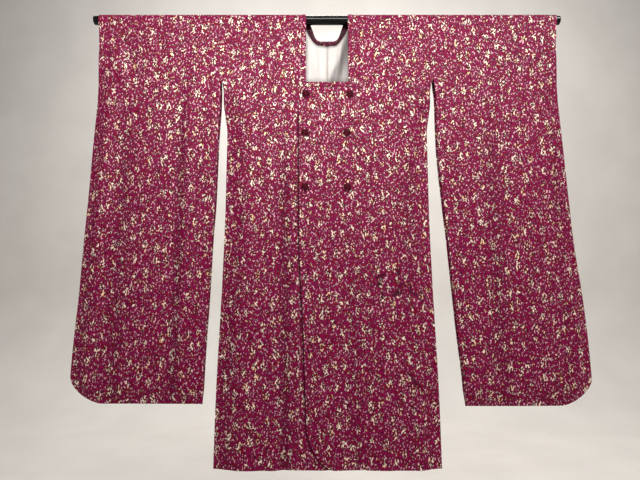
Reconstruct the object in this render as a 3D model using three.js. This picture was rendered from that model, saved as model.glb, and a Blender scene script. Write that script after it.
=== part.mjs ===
// A long-sleeved kimono coat hanging flat on a rod, as separate cloth pieces.
// Millimetres. +X is the wearer's left, the front faces -Y, +Z is up, and the origin is the middle of
// the rod's axis. "drop" is a distance below that axis. A drop from -1 to 0 is the share of the way
// round the rod, from the fold on top (-1) to the height of the axis (0).

import * as THREE from 'three';
import { mergeVertices } from 'three/addons/utils/BufferGeometryUtils.js';

// Rod
const rodRadius = 13;
const rodLength = 1350;
const rodSides = 40;

// Cloth walls and the gaps between them
const clothWall = 2;
const collarWall = 3;
const liningWall = 1;
const seamGap = 0.3;
const foldRadius = rodRadius + 0.4;
const overStep = 3.5;
const stepBlend = 150;
const liningGap = 0.4;

// Coat body
const hemDrop = 1241;
const shoulderHalf = 308;
const armholeDrop = 212;
const sideSeamDrop = 345;
const sideClosing = 62;
const liningShare = 0.9;
const liningHem = 1212;

// Neck, collar band and front overlap
const neckHalf = 60;
const neckDrop = 195;
const collarWidth = 15;
const overlapReach = 79;
const frontCorner = { width: 70, height: 100 };

// Sleeves
const cuffDrop = 240;
const cuffBlend = 130;
const sleeveCorner = { width: 88, height: 68 };
const sleeveClosing = 46;
const cornerPower = 1.25;

// Knotted fastenings
const knotRadius = 12.5;
const knotHeight = 6.5;
const knotPetals = 5;
const knotSides = 20;
const knotWave = 0.13;
const knotGap = 0.6;
const knotRows = [
  { name: 'upper', drop: 232, left: 64, right: -60 },
  { name: 'middle', drop: 344, left: 55, right: -62 },
  { name: 'lower', drop: 499, left: 55, right: -61 },
];

// Section of a knot from its crown to the middle of its flat back.
const knotLevels = [
  { reach: 0, height: 0.7 },
  { reach: 0.3, height: 0.86 },
  { reach: 0.62, height: 1 },
  { reach: 0.88, height: 0.78 },
  { reach: 1, height: 0.4 },
  { reach: 0.94, height: 0 },
  { reach: 0, height: 0 },
];

// Half width of the body at each drop. The back edge stays wider just under the armhole.
const bodySide = [
  { drop: -1, front: 308, back: 308 },
  { drop: 150, front: 308, back: 308 },
  { drop: 176, front: 303.5, back: 303.5 },
  { drop: 186, front: 301.5, back: 301.5 },
  { drop: 208, front: 292, back: 298 },
  { drop: 248, front: 288, back: 296 },
  { drop: 290, front: 284, back: 289 },
  { drop: 345, front: 281, back: 281 },
  { drop: 535, front: 281, back: 281 },
  { drop: 755, front: 285, back: 285 },
  { drop: 860, front: 288.5, back: 288.5 },
  { drop: 1070, front: 295, back: 295 },
  { drop: 1241, front: 297, back: 297 },
];

// Edges of each sleeve, measured from the centre back outwards. Both swing out a little at the foot.
const sleeveEdges = {
  left: [
    { drop: -1, inner: 308.3, outer: 664 },
    { drop: 45, inner: 308.3, outer: 657 },
    { drop: 100, inner: 308.3, outer: 653 },
    { drop: 150, inner: 308.3, outer: 653.5 },
    { drop: 176, inner: 303.8, outer: 654 },
    { drop: 186, inner: 302.5, outer: 654 },
    { drop: 240, inner: 307, outer: 656.5 },
    { drop: 363, inner: 308, outer: 663 },
    { drop: 534, inner: 319, outer: 671 },
    { drop: 644, inner: 329, outer: 677 },
    { drop: 806, inner: 341, outer: 693 },
    { drop: 911, inner: 349, outer: 700 },
    { drop: 989, inner: 357, outer: 703 },
    { drop: 1084, inner: 363, outer: 704 },
  ],
  right: [
    { drop: -1, inner: 308.3, outer: 660 },
    { drop: 45, inner: 308.3, outer: 653 },
    { drop: 100, inner: 308.3, outer: 650 },
    { drop: 150, inner: 308.3, outer: 650 },
    { drop: 176, inner: 303.8, outer: 650.5 },
    { drop: 186, inner: 302.2, outer: 650.5 },
    { drop: 240, inner: 301, outer: 652.5 },
    { drop: 363, inner: 306, outer: 658 },
    { drop: 534, inner: 309, outer: 664 },
    { drop: 644, inner: 315, outer: 669 },
    { drop: 806, inner: 320, outer: 675 },
    { drop: 911, inner: 325, outer: 681 },
    { drop: 989, inner: 328, outer: 684 },
    { drop: 1079, inner: 330, outer: 685 },
  ],
};
const sleeveFoot = { left: 1084, right: 1079 };

// Free edge of the front that lies on top, from the neck to the start of its rounded corner.
const overEdge = [
  { drop: 195, x: -79 },
  { drop: 420, x: -78 },
  { drop: 644, x: -76 },
  { drop: 860, x: -65 },
  { drop: 1066, x: -57 },
  { drop: 1141, x: -54 },
];

// Room between the middle plane and the inner face, for the body and for a sleeve.
const bodyRoom = [
  { drop: 0, room: 13.4 },
  { drop: 220, room: 13.4 },
  { drop: 600, room: 15 },
  { drop: 1000, room: 15 },
  { drop: 1241, room: 16 },
];
const sleeveRoom = [
  { drop: 0, room: 13.4 },
  { drop: 220, room: 13.4 },
  { drop: 600, room: 12.5 },
  { drop: 900, room: 11 },
  { drop: 1084, room: 10 },
];

// The collar band behind the neck, one row for each section: its free edge, then its sewn edge.
const backNeck = [
  { innerX: 60, innerDrop: -1, outerX: 75, outerDrop: -1 },
  { innerX: 58, innerDrop: -0.8, outerX: 74, outerDrop: -0.8 },
  { innerX: 56, innerDrop: -0.6, outerX: 72, outerDrop: -0.6 },
  { innerX: 53, innerDrop: -0.4, outerX: 70, outerDrop: -0.4 },
  { innerX: 51, innerDrop: -0.2, outerX: 68, outerDrop: -0.2 },
  { innerX: 49, innerDrop: 0, outerX: 66, outerDrop: 0 },
  { innerX: 47, innerDrop: 9, outerX: 63, outerDrop: 12 },
  { innerX: 42, innerDrop: 24, outerX: 56, outerDrop: 32 },
  { innerX: 36, innerDrop: 43, outerX: 46, outerDrop: 51 },
  { innerX: 29, innerDrop: 55, outerX: 36, outerDrop: 64 },
  { innerX: 19, innerDrop: 61, outerX: 23, outerDrop: 72 },
  { innerX: 0, innerDrop: 62, outerX: 0, outerDrop: 74 },
];

// Soft folds: a line from head to foot, how wide it is and how far it stands out (or in, if negative).
const frontFolds = [
  { headX: -126, headDrop: 330, footX: -112, footDrop: 1500, width: 26, depth: -4.5 },
  { headX: -196, headDrop: 380, footX: -214, footDrop: 1500, width: 38, depth: 4.5 },
  { headX: -250, headDrop: 560, footX: -262, footDrop: 1500, width: 22, depth: -3 },
  { headX: -20, headDrop: 520, footX: 12, footDrop: 1500, width: 34, depth: 3.5 },
  { headX: 60, headDrop: 620, footX: 84, footDrop: 1500, width: 24, depth: -2.5 },
  { headX: 150, headDrop: 420, footX: 150, footDrop: 1500, width: 36, depth: 4 },
  { headX: 205, headDrop: 860, footX: 290, footDrop: 1120, width: 20, depth: -3.5 },
  { headX: 232, headDrop: 300, footX: 212, footDrop: 900, width: 24, depth: -3 },
  { headX: 225, headDrop: 860, footX: 262, footDrop: 1600, width: 26, depth: 4 },
  { headX: 250, headDrop: 170, footX: 205, footDrop: 320, width: 22, depth: -2 },
];
const backFolds = [
  { headX: -205, headDrop: 340, footX: -190, footDrop: 1500, width: 36, depth: 4 },
  { headX: -120, headDrop: 480, footX: -134, footDrop: 1500, width: 28, depth: -3.5 },
  { headX: -48, headDrop: 300, footX: -40, footDrop: 1500, width: 32, depth: 3 },
  { headX: 62, headDrop: 380, footX: 48, footDrop: 1500, width: 30, depth: -3 },
  { headX: 138, headDrop: 320, footX: 156, footDrop: 1500, width: 38, depth: 4.5 },
  { headX: 226, headDrop: 520, footX: 240, footDrop: 1500, width: 26, depth: -3.5 },
];
const sleeveFolds = [
  { headX: 395, headDrop: 120, footX: 412, footDrop: 1300, width: 34, depth: 3 },
  { headX: 468, headDrop: 200, footX: 486, footDrop: 1300, width: 30, depth: -3 },
  { headX: 545, headDrop: 90, footX: 570, footDrop: 1300, width: 38, depth: 3.5 },
  { headX: 615, headDrop: 260, footX: 636, footDrop: 1200, width: 24, depth: -2 },
];
const sleeveFoldSide = 0.5;
const sleeveFree = { across: 60, down: 80 };
const swayDepth = 3;
const swayLength = 105;
const swayStart = 0.6;
const foldFade = 0.25;

// Stations shared by the body pieces, so that layers over each other stay parallel.
const roundRod = [-1, -0.8, -0.6, -0.4, -0.2, 0];
const cornerTurns = [18, 36, 54, 72, 90];
const bodyColumns = [0, 0.12, 0.24, 0.36, 0.48, 0.6, 0.71, 0.81, 0.9, 0.96, 1];
const chestDrops = [45, 110, 150, 186, 212, 248, 290, 345, 420, 510];
const skirtDrops = [610, 715, 820, 930, 1040, hemDrop - frontCorner.height];
const overlapColumns = 8;
const sleeveColumns = [0, 0.1, 0.2, 0.3, 0.4, 0.5, 0.6, 0.7, 0.79, 0.87, 0.94, 0.98, 1];
const sleeveDrops = [45, 110, 150, 186, 212, cuffDrop, 330, 430, 540, 650, 760, 870, 950];

// Colours from the photograph
const cloth = { color: 0x9c1c4c, roughness: 0.62, metalness: 0.0 };
const clothDark = { color: 0x8a1843, roughness: 0.62, metalness: 0.0 };
const knotCloth = { color: 0x57102c, roughness: 0.7, metalness: 0.0 };
const lining = { color: 0xe6e1db, roughness: 0.5, metalness: 0.0 };
const blackSteel = { color: 0x111110, roughness: 0.25, metalness: 0.6 };

// Small helpers
function smooth(value) {
  const t = Math.min(Math.max(value, 0), 1);
  return t * t * (3 - 2 * t);
}

function blend(from, to, share) {
  return from + (to - from) * share;
}

// A rounded corner as it turns from upright (0) to level (90): how much of its width and height is used.
function cornerUsed(turn) {
  const angle = THREE.MathUtils.degToRad(turn);
  return {
    across: 1 - Math.cos(angle) ** cornerPower,
    down: Math.sin(angle) ** cornerPower,
  };
}

const hemDrops = cornerTurns.map((turn) => hemDrop - frontCorner.height * (1 - cornerUsed(turn).down));

// The value of a table's column at a drop, by straight lines between its rows.
function lookUp(table, column, drop) {
  if (drop <= table[0].drop) return table[0][column];
  for (let i = 1; i < table.length; i += 1) {
    const [low, high] = [table[i - 1], table[i]];
    if (drop <= high.drop) {
      return blend(low[column], high[column], (drop - low.drop) / (high.drop - low.drop));
    }
  }
  return table[table.length - 1][column];
}

// How far soft folds lift the cloth at a point.
function foldLift(folds, x, drop) {
  let lift = 0;
  for (const fold of folds) {
    const along = (drop - fold.headDrop) / (fold.footDrop - fold.headDrop);
    const across = (x - blend(fold.headX, fold.footX, along)) / fold.width;
    const fade = smooth(along / foldFade) * smooth((1 - along) / foldFade);
    lift += fold.depth * Math.exp(-across * across) * fade;
  }
  return lift;
}

// The slow drift of front and back together, nothing at the rod and most at the hem.
function sway(x, drop) {
  return swayDepth * Math.sin(x / swayLength + swayStart) * smooth(drop / hemDrop);
}

// Distance from the middle plane to the inner face of the body's front (-1) or back (1).
function bodyDepth(x, drop, side) {
  const halfWidth = lookUp(bodySide, side < 0 ? 'front' : 'back', drop);
  const toEdge = smooth((halfWidth - Math.abs(x)) / sideClosing);
  const closed = smooth((drop - armholeDrop) / (sideSeamDrop - armholeDrop));
  const lift = foldLift(side < 0 ? frontFolds : backFolds, x, drop) * toEdge;
  const open = lookUp(bodyRoom, 'room', drop) + lift;
  return blend(open, blend(seamGap / 2, open, toEdge), closed);
}

// A point of the body's cloth: out is the distance outside the inner face, layer 1 the front on top.
function bodyPoint(x, drop, side, out, layer = 0) {
  if (drop < 0) {
    const angle = (1 + drop) * Math.PI / 2;
    const radius = foldRadius + out;
    return [x, side * radius * Math.sin(angle), radius * Math.cos(angle)];
  }
  const fromArmhole = smooth((shoulderHalf - Math.abs(x)) / stepBlend);
  const step = layer * overStep * smooth(drop / neckDrop) * fromArmhole;
  const depth = bodyDepth(x, drop, side) + step + out;
  return [x, sway(x, drop) + side * depth, -drop];
}

// A closed solid from quads: equal corners are joined, slivers dropped and the faces turned outwards.
function solidFromQuads(quads) {
  const loose = new THREE.BufferGeometry();
  const corners = quads.flatMap(([a, b, c, d]) => [a, b, c, a, c, d]);
  loose.setAttribute('position', new THREE.Float32BufferAttribute(corners.flat(), 3));
  const joined = mergeVertices(loose, 1e-3);
  const place = joined.attributes.position;
  const kept = [];
  let volume = 0;
  const [p, q, r] = [new THREE.Vector3(), new THREE.Vector3(), new THREE.Vector3()];
  for (let i = 0; i < joined.index.count; i += 3) {
    const [a, b, c] = [joined.index.getX(i), joined.index.getX(i + 1), joined.index.getX(i + 2)];
    if (a === b || b === c || c === a) continue;
    p.fromBufferAttribute(place, a);
    q.fromBufferAttribute(place, b);
    r.fromBufferAttribute(place, c);
    volume += p.dot(q.clone().cross(r));
    kept.push(a, b, c);
  }
  joined.setIndex(volume > 0 ? kept : kept.reverse());
  joined.computeVertexNormals();
  return joined;
}

// The two faces of a wall over a grid of columns and rows. pointOf takes a column, a row and 0 for the
// inner or 1 for the outer face.
function wallFaces(columns, rows, pointOf) {
  const quads = [];
  for (let i = 0; i < columns; i += 1) {
    for (let j = 0; j < rows; j += 1) {
      const cornersOf = (face) => [
        pointOf(i, j, face),
        pointOf(i + 1, j, face),
        pointOf(i + 1, j + 1, face),
        pointOf(i, j + 1, face),
      ];
      const [near, across, far, along] = cornersOf(0);
      quads.push(cornersOf(1), [near, along, far, across]);
    }
  }
  return quads;
}

// Rim quads along one side edge, for the rows that keep() picks.
function sideRim(column, rows, pointOf, turned, keep = () => true) {
  const quads = [];
  for (let j = 0; j < rows; j += 1) {
    if (!keep(j)) continue;
    const [near, far] = turned ? [j + 1, j] : [j, j + 1];
    quads.push([
      pointOf(column, near, 1),
      pointOf(column, far, 1),
      pointOf(column, far, 0),
      pointOf(column, near, 0),
    ]);
  }
  return quads;
}

// Rim quads along the first or last row.
function endRim(row, columns, pointOf, turned) {
  const quads = [];
  for (let i = 0; i < columns; i += 1) {
    const [near, far] = turned ? [i, i + 1] : [i + 1, i];
    quads.push([
      pointOf(near, row, 1),
      pointOf(far, row, 1),
      pointOf(far, row, 0),
      pointOf(near, row, 0),
    ]);
  }
  return quads;
}

// A panel: a wall with a rim all round.
function panelSolid(columns, rows, pointOf) {
  return solidFromQuads([
    ...wallFaces(columns, rows, pointOf),
    ...sideRim(0, rows, pointOf, false),
    ...sideRim(columns, rows, pointOf, true),
    ...endRim(0, columns, pointOf, false),
    ...endRim(rows, columns, pointOf, true),
  ]);
}

function piece(name, geometry, finish) {
  const mesh = new THREE.Mesh(geometry, new THREE.MeshStandardMaterial(finish));
  mesh.name = name;
  return mesh;
}

// The back neck edge that the body and its lining are cut to, a seam gap outside the collar band.
const backNeckEdge = backNeck.map((row) => {
  if (row.outerDrop <= 0) return { drop: row.outerDrop, neck: row.outerX + seamGap };
  const [across, down] = [row.outerX - row.innerX, row.outerDrop - row.innerDrop];
  const share = seamGap / Math.hypot(across, down);
  return { drop: row.outerDrop + down * share, neck: Math.max(row.outerX + across * share, seamGap / 2) };
});
const backDrops = [...chestDrops.slice(1), ...skirtDrops, ...hemDrops];

// The body panel of one side: one length of cloth from the front hem over the rod to the back hem.
function bodyPanel(hand) {
  const frontRows = [...roundRod.slice(1), ...chestDrops, ...skirtDrops, ...hemDrops].reverse();
  const frontEdge = neckHalf + collarWidth + seamGap;
  const rows = [
    ...frontRows.map((drop) => ({ drop, side: -1, neck: frontEdge })),
    ...backNeckEdge.map((row) => ({ ...row, side: 1 })),
    ...backDrops.map((drop) => ({ drop, side: 1, neck: seamGap / 2 })),
  ];
  const layer = hand > 0 ? 1 : 0;
  const pointOf = (i, j, face) => {
    const { drop, side, neck } = rows[j];
    const edge = lookUp(bodySide, side < 0 ? 'front' : 'back', drop);
    const x = hand * blend(neck, edge, bodyColumns[i]);
    return bodyPoint(x, drop, side, face * clothWall, side < 0 ? layer : 0);
  };
  return panelSolid(bodyColumns.length - 1, rows.length - 1, pointOf);
}

// The straight panel sewn to each front. The left one lies on top and has the rounded corner that shows.
function overlapPanel(hand) {
  const firstDrop = neckDrop + collarWidth + seamGap;
  const rows = [firstDrop, ...chestDrops, ...skirtDrops]
    .filter((drop) => drop >= firstDrop)
    .map((drop) => ({ drop, turn: 0 }));
  hemDrops.forEach((drop, k) => rows.push({ drop, turn: cornerTurns[k] }));
  const sewn = hand * (neckHalf + collarWidth);
  const pointOf = (i, j, face) => {
    const { drop, turn } = rows[j];
    const straight = hand > 0 ? lookUp(overEdge, 'x', drop) : overlapReach;
    const free = straight + hand * frontCorner.width * cornerUsed(turn).across;
    const [low, high] = hand > 0 ? [free, sewn] : [sewn, free];
    return bodyPoint(blend(low, high, i / overlapColumns), drop, -1, face * clothWall, hand > 0 ? 1 : 0);
  };
  return panelSolid(overlapColumns, rows.length - 1, pointOf);
}

// The collar band in one strip: across the left front, round the neck and across the right front.
function collarBand() {
  const sideDrops = [150, 110, 70, 35, ...roundRod.slice(1).reverse()];
  const outerHalf = neckHalf + collarWidth;
  const acrossShares = [0, 0.25, 0.5, 0.75];
  const half = (hand) => {
    const front = (innerX, innerDrop, outerX, outerDrop) => ({
      inner: [hand * innerX, innerDrop],
      outer: [hand * outerX, outerDrop],
      side: -1,
      layer: hand > 0 ? 1 : 0,
    });
    const across = acrossShares
      .map((share) => blend(-overlapReach, neckHalf - collarWidth, share))
      .map((x) => front(x, neckDrop, x, neckDrop + collarWidth));
    const corner = front(neckHalf, neckDrop, outerHalf, neckDrop + collarWidth);
    const upright = sideDrops.map((drop) => front(neckHalf, drop, outerHalf, drop));
    const behind = backNeck.map((row) => ({
      inner: [hand * row.innerX, row.innerDrop],
      outer: [hand * row.outerX, row.outerDrop],
      side: 1,
      layer: 0,
    }));
    return [...across, corner, ...upright, ...behind];
  };
  const sections = [...half(1), ...half(-1).reverse().slice(1)];
  const pointOf = (i, j, face) => {
    const section = sections[j];
    const [x, drop] = i === 0 ? section.inner : section.outer;
    return bodyPoint(x, drop, section.side, face * collarWall, section.layer);
  };
  return panelSolid(1, sections.length - 1, pointOf);
}

// White lining inside one half of the back, from the collar to just above the hem.
function backLining(hand) {
  const shares = bodyColumns.filter((share) => share <= liningShare);
  const rows = [
    ...backNeckEdge.filter((row) => row.drop > 0),
    ...backDrops.filter((drop) => drop < liningHem).map((drop) => ({ drop, neck: seamGap / 2 })),
    { drop: liningHem, neck: seamGap / 2 },
  ];
  const pointOf = (i, j, face) => {
    const { drop, neck } = rows[j];
    const x = hand * blend(neck, lookUp(bodySide, 'back', drop), shares[i]);
    return bodyPoint(x, drop, 1, -liningGap - (1 - face) * liningWall);
  };
  return panelSolid(shares.length - 1, rows.length - 1, pointOf);
}

// A sleeve: a flat bag folded over the rod, sewn along its foot and below the cuff, open at the armhole.
function sleeve(hand) {
  const key = hand > 0 ? 'left' : 'right';
  const foot = sleeveFoot[key];
  const table = sleeveEdges[key];
  const columns = sleeveColumns.length - 1;
  const cornerTop = foot - sleeveCorner.height;
  const straight = [...roundRod, ...sleeveDrops, cornerTop].map((drop) => ({ drop, turn: 0 }));
  const face = [...straight, ...cornerTurns.map((turn) => ({ drop: foot, turn }))];
  const ring = [
    ...face.slice().reverse().map((row) => ({ ...row, side: -1 })),
    ...face.slice(1).map((row) => ({ ...row, side: 1 })),
  ];
  const pointOf = (i, j, outside) => {
    const { turn, side } = ring[j];
    const inset = outside ? 0 : clothWall;
    const used = cornerUsed(turn);
    const drop = turn > 0 ? cornerTop + (sleeveCorner.height - inset) * used.down : ring[j].drop;
    const sewnHere = ring[j].drop >= cuffDrop;
    const inner = lookUp(table, 'inner', drop);
    const outer = lookUp(table, 'outer', drop) - (sewnHere ? inset : 0);
    const end = outer - (sleeveCorner.width - inset) * used.across;
    const x = blend(inner, end, sleeveColumns[i]);
    if (drop < 0) return bodyPoint(hand * x, drop, side, outside * clothWall);
    const atEnd = (sewnHere && i === columns) || turn === cornerTurns[cornerTurns.length - 1];
    if (atEnd) return [hand * x, sway(hand * x, drop), -drop];
    const sewn = smooth((drop - cuffDrop + cuffBlend) / cuffBlend);
    const sideShare = blend(1, smooth((end - x) / sleeveClosing), sewn);
    const footShare = smooth((foot - drop) / sleeveClosing);
    const free = smooth((x - inner) / sleeveFree.across + (drop - armholeDrop) / sleeveFree.down);
    const lift = foldLift(sleeveFolds, x, drop) * side * sleeveFoldSide * free;
    const room = (lookUp(sleeveRoom, 'room', drop) + lift) * Math.min(sideShare, footShare);
    return [hand * x, sway(hand * x, drop) + side * (room + outside * clothWall), -drop];
  };
  const rows = ring.length - 1;
  const cuffOpen = (j) => Math.max(ring[j].drop, ring[j + 1].drop) <= cuffDrop;
  return solidFromQuads([
    ...wallFaces(columns, rows, pointOf),
    ...sideRim(0, rows, pointOf, false),
    ...sideRim(columns, rows, pointOf, true, cuffOpen),
  ]);
}

// A knotted rosette that lies on the top front: a flat back and a dome with petals.
function knot(x, drop) {
  const [, seatY] = bodyPoint(x, drop, -1, clothWall + knotGap, 1);
  const at = (level, turn) => {
    const angle = turn / knotSides * 2 * Math.PI;
    const petal = 1 + knotWave * level.reach * Math.cos(knotPetals * angle);
    const radius = knotRadius * level.reach * petal;
    const y = seatY - knotHeight * level.height;
    return [x + radius * Math.sin(angle), y, radius * Math.cos(angle) - drop];
  };
  const quads = [];
  for (let k = 1; k < knotLevels.length; k += 1) {
    const [low, high] = [knotLevels[k - 1], knotLevels[k]];
    for (let turn = 0; turn < knotSides; turn += 1) {
      const next = (turn + 1) % knotSides;
      quads.push([at(low, turn), at(low, next), at(high, next), at(high, turn)]);
    }
  }
  return solidFromQuads(quads);
}

// The plain round rod through both sleeves.
function hangingRod() {
  const geometry = new THREE.CylinderGeometry(rodRadius, rodRadius, rodLength, rodSides);
  geometry.rotateZ(Math.PI / 2);
  return geometry;
}

const coat = new THREE.Group();
coat.add(piece('rod', hangingRod(), blackSteel));
coat.add(piece('body_left', bodyPanel(1), cloth));
coat.add(piece('body_right', bodyPanel(-1), cloth));
coat.add(piece('overlap_left', overlapPanel(1), cloth));
coat.add(piece('overlap_right', overlapPanel(-1), clothDark));
coat.add(piece('collar', collarBand(), clothDark));
coat.add(piece('lining_back_left', backLining(1), lining));
coat.add(piece('lining_back_right', backLining(-1), lining));
coat.add(piece('sleeve_left', sleeve(1), cloth));
coat.add(piece('sleeve_right', sleeve(-1), cloth));
for (const row of knotRows) {
  coat.add(piece(`knot_${row.name}_left`, knot(row.left, row.drop), knotCloth));
  coat.add(piece(`knot_${row.name}_right`, knot(row.right, row.drop), knotCloth));
}

export default coat;
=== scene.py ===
import math

import bmesh
import bpy
import numpy as np
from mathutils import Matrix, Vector


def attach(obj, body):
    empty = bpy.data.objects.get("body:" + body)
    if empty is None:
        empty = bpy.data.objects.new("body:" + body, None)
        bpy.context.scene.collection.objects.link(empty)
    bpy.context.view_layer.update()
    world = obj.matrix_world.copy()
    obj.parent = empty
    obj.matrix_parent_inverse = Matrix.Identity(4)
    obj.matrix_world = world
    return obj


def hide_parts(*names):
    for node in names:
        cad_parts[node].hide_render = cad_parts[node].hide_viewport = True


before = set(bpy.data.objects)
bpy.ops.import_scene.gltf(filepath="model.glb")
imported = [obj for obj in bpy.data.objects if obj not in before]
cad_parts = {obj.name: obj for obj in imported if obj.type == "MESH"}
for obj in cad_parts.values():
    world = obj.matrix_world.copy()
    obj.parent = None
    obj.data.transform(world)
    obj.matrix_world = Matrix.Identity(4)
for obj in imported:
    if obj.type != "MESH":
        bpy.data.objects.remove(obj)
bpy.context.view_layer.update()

# Lengths are millimetres until a mesh is made. +X is the wearer's left, the front faces -Y, +Z is up and
# the origin is the middle of the rod's axis. "drop" is the distance below that axis along the cloth, and
# a drop below zero is the arc round the rod, up to the fold on top.
MM = 0.001

# Camera
CAMERA_PLACE = (-20, -1363.7, -812)
CAMERA_TILT = 7.07
LENS_MM = 28.125
SENSOR_MM = 36

camera = bpy.data.objects.new("camera", bpy.data.cameras.new("camera"))
camera.data.lens = LENS_MM
camera.data.sensor_width = SENSOR_MM
camera.location = [v * MM for v in CAMERA_PLACE]
camera.rotation_euler = (math.radians(90 + CAMERA_TILT), 0, 0)
bpy.context.collection.objects.link(camera)
bpy.context.scene.camera = camera

# Rod
ROD_RADIUS = 13
ROD_HALF = 675
ROD_EDGE = 2
ROD_SIDES = 96
ROD_STEPS = {"edge": 6, "length": 26}

# Walls and the gaps between sewn or lying pieces
FOLD_RADIUS = 13.4
TOP_ARC = -FOLD_RADIUS * math.pi / 2
CLOTH_WALL = 2
COLLAR_WALL = 3
LINING_WALL = 1
RIM_ROUND = 0.7
RIM_SEGMENTS = 2
RIM_ANGLE = 50
EDGE_REACH = 2.5
SEAM_GAP = 0.3
OVER_STEP = 3.5
STEP_BLEND = 150
LINING_GAP = 0.4
LINING_SEAM = 0.08

# Body, neck and overlap
HEM_DROP = 1241
SHOULDER_HALF = 308
ARMHOLE_DROP = 212
SIDE_SEAM_DROP = 345
SIDE_CLOSING = 62
NECK_HALF = 60
NECK_DROP = 195
COLLAR_WIDTH = 15
OVERLAP_REACH = 79
FRONT_CORNER = {"width": 70, "height": 100}
LINING_SHARE = 0.9
LINING_TOP = 0.5
LINING_HEM = 1212

# Sleeves
CUFF_DROP = 240
CUFF_BLEND = 130
SLEEVE_FOOT = {"left": 1084, "right": 1079}
SLEEVE_CORNER = {"width": 88, "height": 68}
SLEEVE_CLOSING = 46
CORNER_POWER = 1.25
SLEEVE_FREE = {"across": 60, "down": 80}
SLEEVE_FOLD_BACK = 0.5

# The top front's free edge curls out and the cloth under it falls in, from a drop on.
FREE_EDGE = {
    "start": 235, "fade": 60, "lip": 1.0, "lip_width": 6,
    "trough": 2.8, "trough_place": 2, "trough_width": 4.5,
}

# Painted shade of the silk: beside that edge, in deep creases, in the hollows of folds and inside the neck,
# where the band's lit places have painted light.
EDGE_SHADE = {"place": 1.6, "width": 2.6, "depth": 0.8}
CREASE_SHADE = {"from": 0.35, "reach": 1.3, "depth": 0.66}
FOLD_SHADE = {"reach": 5.5, "depth": 0.32}
BAND_SHADE = {"reach": 8, "depth": 0.88, "lit": 0.6, "lit_place": 0.1, "lit_width": 0.25}

# The collar: its crowned face, its rise behind the neck and the two lobes gathered beside the middle.
COLLAR_CROWN = {"edge": 0.66, "rise": 0.34, "power": 3}
BAND_RISE = {"half": 48, "height": 4.5, "flat": 1.3}
GATHER = {"place": 7.5, "width": 4, "dip": 3.4, "swell": 1.8}

# Slow movements of the cloth: the drift of front and back together, the unevenness of hanging silk with
# its seeds for the body and the sleeves, and how a crease fades at its ends, wanders and changes in depth
# along its length.
SWAY = {"depth": 3, "length": 105, "start": 0.6}
RIPPLE = {
    "lengths": (150, 118, 92, 71, 56, 44), "depth": 0.25, "turn": 0.7, "from_rod": 160,
    "body": 3, "sleeve": 11,
}
CREASE = {"fade": 0.3, "wander": 0.33, "wander_wave": 7, "uneven": 0.25, "uneven_wave": 11, "start": 2.1}
FOLD_FADE = 0.25

# Each piece is cut from another place of the length of silk, so far on across and along.
CUT_SHIFT = (731, 517)

# How fine the meshes are. A piece's columns are their count, the share of the width next to the finished
# edge that has extra ones, and the count of those. Rows too near the end of a shaped edge are left out,
# and drops or points nearer than the last two values are the same.
ROW_SPACING = 4.8
CUFF_SPACING = 6
ROD_SPACING = 2.2
EDGE_SPACING = 40
ROW_CLEAR = 2
CREASED_DROPS = (700, 822)
COLUMNS = {"body": (52, 0.04, 3), "overlap": (34, 0.06, 2), "sleeve": (70, 0.03, 3)}
LINING_COLUMNS = 50
SEAM_CROWDING = 1.5
NECK_STEPS = 6
CORNER_STEPS = {"front": 15, "sleeve": 18}
COLLAR_STEPS = (24, 5, 5, 36, 10)
COLLAR_ACROSS = 9
SAME_DROP = 0.01
SAME_POINT = 0.001


def table(columns, rows):
    """Rows of values as dictionaries under the columns' names."""
    return [dict(zip(columns.split(), row)) for row in rows]


# The edges of the pieces at each drop, and the room between the middle plane and their inner faces.
BODY_SIDE = table("drop front back", [
    (-22, 308, 308),
    (150, 308, 308),
    (176, 303.5, 303.5),
    (186, 301.5, 301.5),
    (208, 292, 298),
    (248, 288, 296),
    (290, 284, 289),
    (345, 281, 281),
    (535, 281, 281),
    (755, 285, 285),
    (860, 288.5, 288.5),
    (1070, 295, 295),
    (1241, 297, 297),
])
SLEEVE_EDGES = {
    "left": table("drop inner outer", [
        (-22, 308.3, 664),
        (45, 308.3, 657),
        (100, 308.3, 653),
        (150, 308.3, 653.5),
        (176, 303.8, 654),
        (186, 302.5, 654),
        (240, 307, 656.5),
        (363, 308, 663),
        (534, 319, 671),
        (644, 329, 677),
        (806, 341, 693),
        (911, 349, 700),
        (989, 357, 703),
        (1084, 363, 704),
    ]),
    "right": table("drop inner outer", [
        (-22, 308.3, 660),
        (45, 308.3, 653),
        (100, 308.3, 650),
        (150, 308.3, 650),
        (176, 303.8, 650.5),
        (186, 302.2, 650.5),
        (240, 301, 652.5),
        (363, 306, 658),
        (534, 309, 664),
        (644, 315, 669),
        (806, 320, 675),
        (911, 325, 681),
        (989, 328, 684),
        (1079, 330, 685),
    ]),
}
OVER_EDGE = table("drop x", [
    (195, -79),
    (420, -78),
    (644, -76),
    (860, -65),
    (1066, -57),
    (1141, -54),
])
BODY_ROOM = table("drop room", [
    (0, 13.4),
    (220, 13.4),
    (600, 15),
    (1000, 15),
    (1241, 16),
])
SLEEVE_ROOM = table("drop room", [
    (0, 13.4),
    (220, 13.4),
    (600, 12.5),
    (900, 11),
    (1084, 10),
])
BACK_NECK = table("inner_x inner_drop outer_x outer_drop", [
    (60, -21, 75, -21),
    (56, -12.6, 72, -12.6),
    (51, -4.2, 68, -4.2),
    (47, 9, 63, 12),
    (42, 24, 56, 32),
    (36, 43, 46, 51),
    (29, 55, 36, 64),
    (19, 61, 23, 72),
    (0, 62, 0, 74),
])

# Where each knot sits, and its turn in degrees.
KNOTS = table("name x drop turn", [
    ("knot_upper_left", 64, 232, 8),
    ("knot_upper_right", -60, 232, -15),
    ("knot_middle_left", 55, 344, 22),
    ("knot_middle_right", -62, 344, 3),
    ("knot_lower_left", 55, 499, -9),
    ("knot_lower_right", -61, 499, 17),
])

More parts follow.
